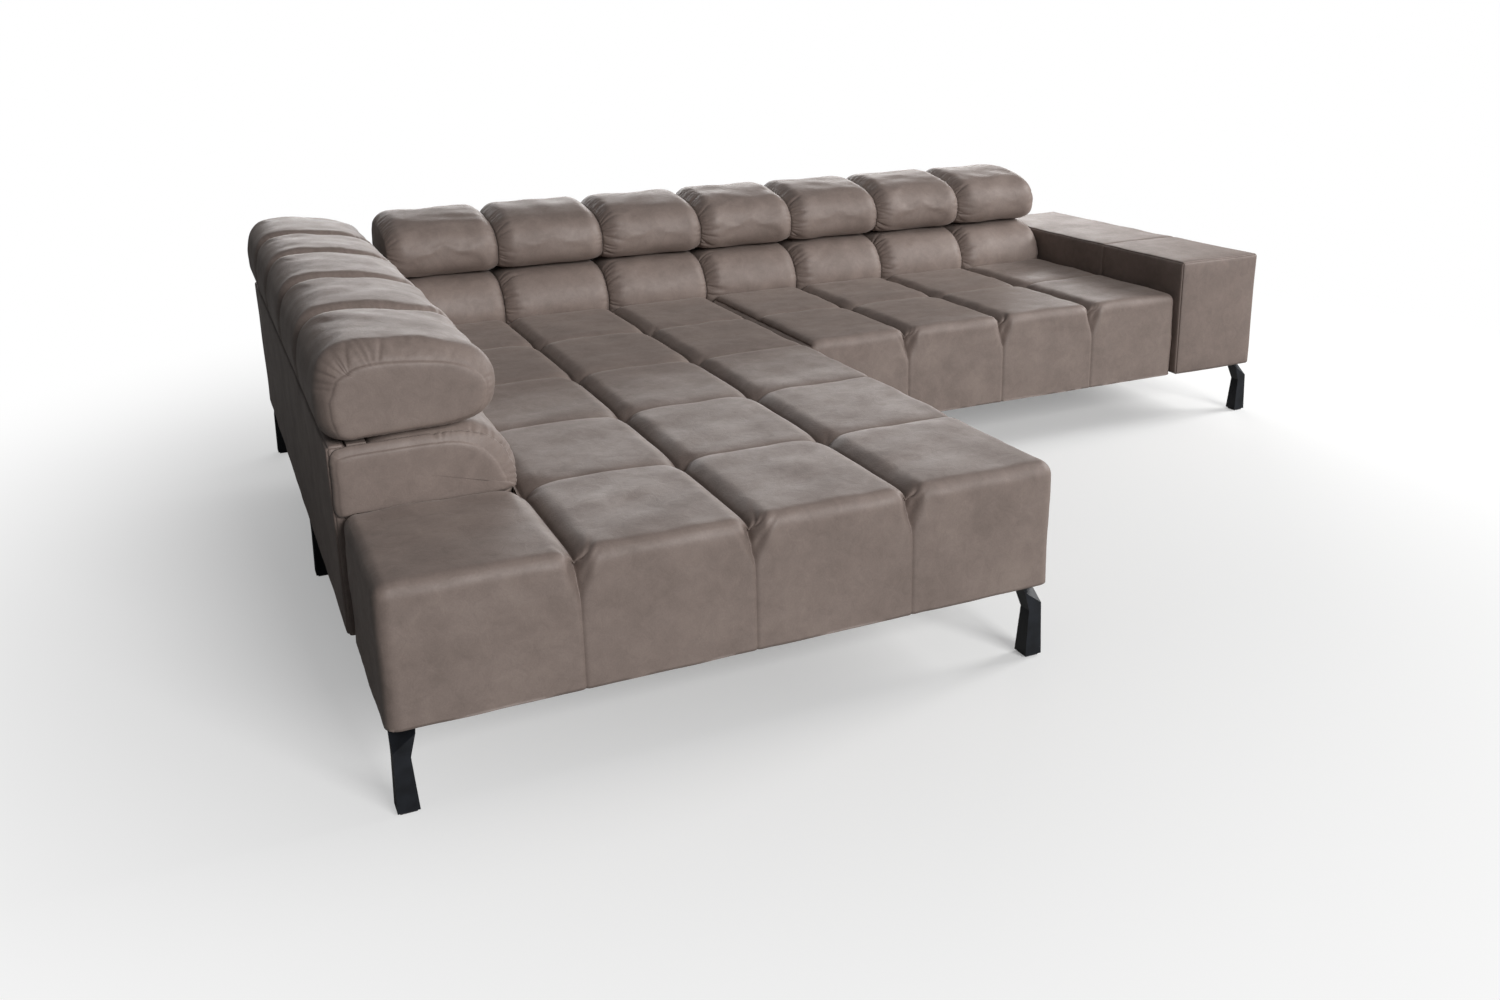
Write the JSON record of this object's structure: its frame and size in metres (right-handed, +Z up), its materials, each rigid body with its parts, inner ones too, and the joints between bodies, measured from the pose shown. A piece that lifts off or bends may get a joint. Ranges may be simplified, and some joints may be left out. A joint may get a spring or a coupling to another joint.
{
  "type": "corner sofa",
  "caption": "L-shaped upholstered corner sofa with a long seat on the left, tufted square seat cushions, folding headrests, one low armrest and slim steel legs.",
  "frame": {"origin": "on the floor under the centre of the sofa's bounding box, headrests folded down", "axes": "+Z up, +X along the main back from the long seat towards the armrest, +Y from the long seat's front towards the main back"},
  "size_m": [3.135, 2.322, 0.777],
  "materials": {
    "cushion_leather": "taupe nubuck leather over foam, satin",
    "body_leather": "taupe nubuck leather over board, satin",
    "fitting_steel": "zinc-plated steel plate",
    "spring_steel": "oiled spring wire",
    "softwood": "planed pine",
    "plywood": "beech plywood",
    "dust_cloth": "black non-woven cloth",
    "felt": "grey felt",
    "black_plastic": "moulded polypropylene",
    "leg_paint": "black powder coat, satin"
  },
  "bodies": {
    "sofa_body": {"armrest_cover": "body_leather", "armrest_frame": "plywood", "armrest_leg": "leg_paint", "bench_base_frame": "softwood", "bench_seat_cushion": "cushion_leather", "chaise_base_frame": "softwood", "chaise_seat_cushion": "cushion_leather", "corner_back_cushion": "cushion_leather", "dust_covers": "dust_cloth", "front_left_leg": "leg_paint", "front_right_leg": "leg_paint", "glides": "felt", "hidden_legs": "leg_paint", "left_1_back_cushion": "cushion_leather", "left_2_back_cushion": "cushion_leather", "left_3_back_cushion": "cushion_leather", "left_4_back_cushion": "cushion_leather", "left_back_end_panel": "cushion_leather", "left_back_frame": "plywood", "left_back_shell": "body_leather", "left_side_leg": "leg_paint", "main_1_back_cushion": "cushion_leather", "main_2_back_cushion": "cushion_leather", "main_3_back_cushion": "cushion_leather", "main_4_back_cushion": "cushion_leather", "main_5_back_cushion": "cushion_leather", "main_6_back_cushion": "cushion_leather", "main_7_back_cushion": "cushion_leather", "main_back_frame": "plywood", "main_back_shell": "body_leather", "module_connectors": "fitting_steel", "ratchet_brackets": "fitting_steel", "rear_left_leg": "leg_paint", "seat_springs": "spring_steel", "support_feet": "black_plastic"},
    "left_1_headrest_body": {"left_1_headrest": "cushion_leather", "left_1_headrest_frame": "fitting_steel"},
    "left_2_headrest_body": {"left_2_headrest": "cushion_leather", "left_2_headrest_frame": "fitting_steel"},
    "left_3_headrest_body": {"left_3_headrest": "cushion_leather", "left_3_headrest_frame": "fitting_steel"},
    "left_4_headrest_body": {"left_4_headrest": "cushion_leather", "left_4_headrest_frame": "fitting_steel"},
    "corner_headrest_body": {"corner_headrest": "cushion_leather", "corner_headrest_frame": "fitting_steel"},
    "main_1_headrest_body": {"main_1_headrest": "cushion_leather", "main_1_headrest_frame": "fitting_steel"},
    "main_2_headrest_body": {"main_2_headrest": "cushion_leather", "main_2_headrest_frame": "fitting_steel"},
    "main_3_headrest_body": {"main_3_headrest": "cushion_leather", "main_3_headrest_frame": "fitting_steel"},
    "main_4_headrest_body": {"main_4_headrest": "cushion_leather", "main_4_headrest_frame": "fitting_steel"},
    "main_5_headrest_body": {"main_5_headrest": "cushion_leather", "main_5_headrest_frame": "fitting_steel"},
    "main_6_headrest_body": {"main_6_headrest": "cushion_leather", "main_6_headrest_frame": "fitting_steel"},
    "main_7_headrest_body": {"main_7_headrest": "cushion_leather", "main_7_headrest_frame": "fitting_steel"}
  },
  "joints": [
    {"name": "left_1_headrest_tilt", "type": "hinge", "parent": "sofa_body", "child": "left_1_headrest_body", "pos_m": [-1.5205, -0.5685, 0.63], "axis": [0, -1, 0], "range_deg": [0, 60]},
    {"name": "left_2_headrest_tilt", "type": "hinge", "parent": "sofa_body", "child": "left_2_headrest_body", "pos_m": [-1.5205, -0.1735, 0.63], "axis": [0, -1, 0], "range_deg": [0, 60]},
    {"name": "left_3_headrest_tilt", "type": "hinge", "parent": "sofa_body", "child": "left_3_headrest_body", "pos_m": [-1.5205, 0.2215, 0.63], "axis": [0, -1, 0], "range_deg": [0, 60]},
    {"name": "left_4_headrest_tilt", "type": "hinge", "parent": "sofa_body", "child": "left_4_headrest_body", "pos_m": [-1.5205, 0.5965, 0.63], "axis": [0, -1, 0], "range_deg": [0, 60]},
    {"name": "corner_headrest_tilt", "type": "hinge", "parent": "sofa_body", "child": "corner_headrest_body", "pos_m": [-1.5205, 0.967, 0.63], "axis": [0, -1, 0], "range_deg": [0, 60]},
    {"name": "main_1_headrest_tilt", "type": "hinge", "parent": "sofa_body", "child": "main_1_headrest_body", "pos_m": [-1.0055, 1.114, 0.63], "axis": [-1, 0, 0], "range_deg": [0, 60]},
    {"name": "main_2_headrest_tilt", "type": "hinge", "parent": "sofa_body", "child": "main_2_headrest_body", "pos_m": [-0.6555, 1.114, 0.63], "axis": [-1, 0, 0], "range_deg": [0, 60]},
    {"name": "main_3_headrest_tilt", "type": "hinge", "parent": "sofa_body", "child": "main_3_headrest_body", "pos_m": [-0.3055, 1.114, 0.63], "axis": [-1, 0, 0], "range_deg": [0, 60]},
    {"name": "main_4_headrest_tilt", "type": "hinge", "parent": "sofa_body", "child": "main_4_headrest_body", "pos_m": [0.0405, 1.114, 0.63], "axis": [-1, 0, 0], "range_deg": [0, 60]},
    {"name": "main_5_headrest_tilt", "type": "hinge", "parent": "sofa_body", "child": "main_5_headrest_body", "pos_m": [0.3825, 1.114, 0.63], "axis": [-1, 0, 0], "range_deg": [0, 60]},
    {"name": "main_6_headrest_tilt", "type": "hinge", "parent": "sofa_body", "child": "main_6_headrest_body", "pos_m": [0.7245, 1.114, 0.63], "axis": [-1, 0, 0], "range_deg": [0, 60]},
    {"name": "main_7_headrest_tilt", "type": "hinge", "parent": "sofa_body", "child": "main_7_headrest_body", "pos_m": [1.0665, 1.114, 0.63], "axis": [-1, 0, 0], "range_deg": [0, 60]}
  ]
}
